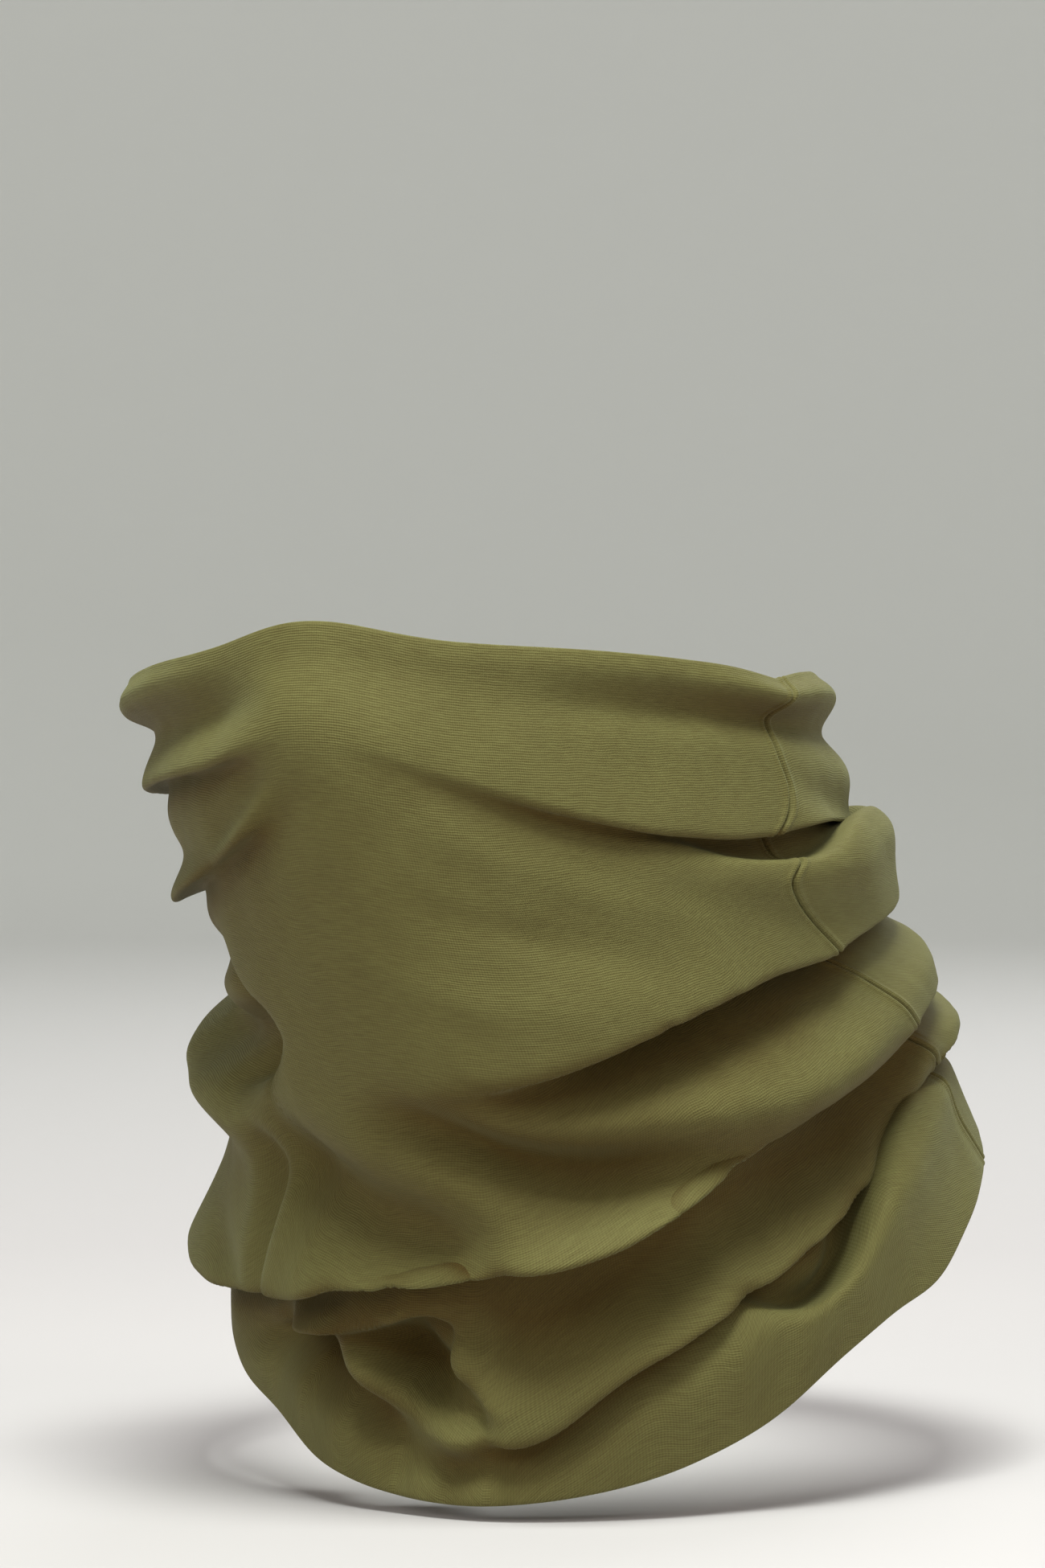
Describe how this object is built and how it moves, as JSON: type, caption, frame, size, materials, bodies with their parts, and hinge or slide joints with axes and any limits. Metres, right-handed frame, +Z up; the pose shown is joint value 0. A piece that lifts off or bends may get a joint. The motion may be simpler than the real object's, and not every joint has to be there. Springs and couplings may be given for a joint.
{
  "type": "neck gaiter",
  "caption": "Seamed tube of stretch knit worn round the neck and up over the nose, with rolled raw edges.",
  "frame": {"origin": "on the axis of the wearer's neck, level with the lowest point of the bottom edge", "axes": "+Z up along the neck, the wearer faces -Y, and the wearer's left is +X"},
  "size_m": [0.1696, 0.2196, 0.1817],
  "materials": {
    "olive_knit": "fine ribbed stretch knit, matt",
    "olive_thread": "spun polyester sewing thread"
  },
  "bodies": {
    "neck": {"knit_panel_neck": "olive_knit", "knit_panel_middle": "olive_knit", "seam_allowance_neck": "olive_knit", "seam_allowance_middle": "olive_knit", "needle_thread_neck": "olive_thread", "needle_thread_middle": "olive_thread", "upper_looper_thread_neck": "olive_thread", "upper_looper_thread_middle": "olive_thread", "lower_looper_thread_neck": "olive_thread", "lower_looper_thread_middle": "olive_thread"},
    "face": {"knit_panel_face": "olive_knit", "seam_allowance_face": "olive_knit", "needle_thread_face": "olive_thread", "upper_looper_thread_face": "olive_thread", "lower_looper_thread_face": "olive_thread"}
  },
  "joints": [
    {"name": "face_pull_down", "type": "hinge", "parent": "neck", "child": "face", "pos_m": [0, 0.09, 0.15], "axis": [1, 0, 0], "range_deg": [0, 20], "deforming": ["knit_panel_middle", "seam_allowance_middle", "needle_thread_middle", "upper_looper_thread_middle", "lower_looper_thread_middle"]}
  ]
}
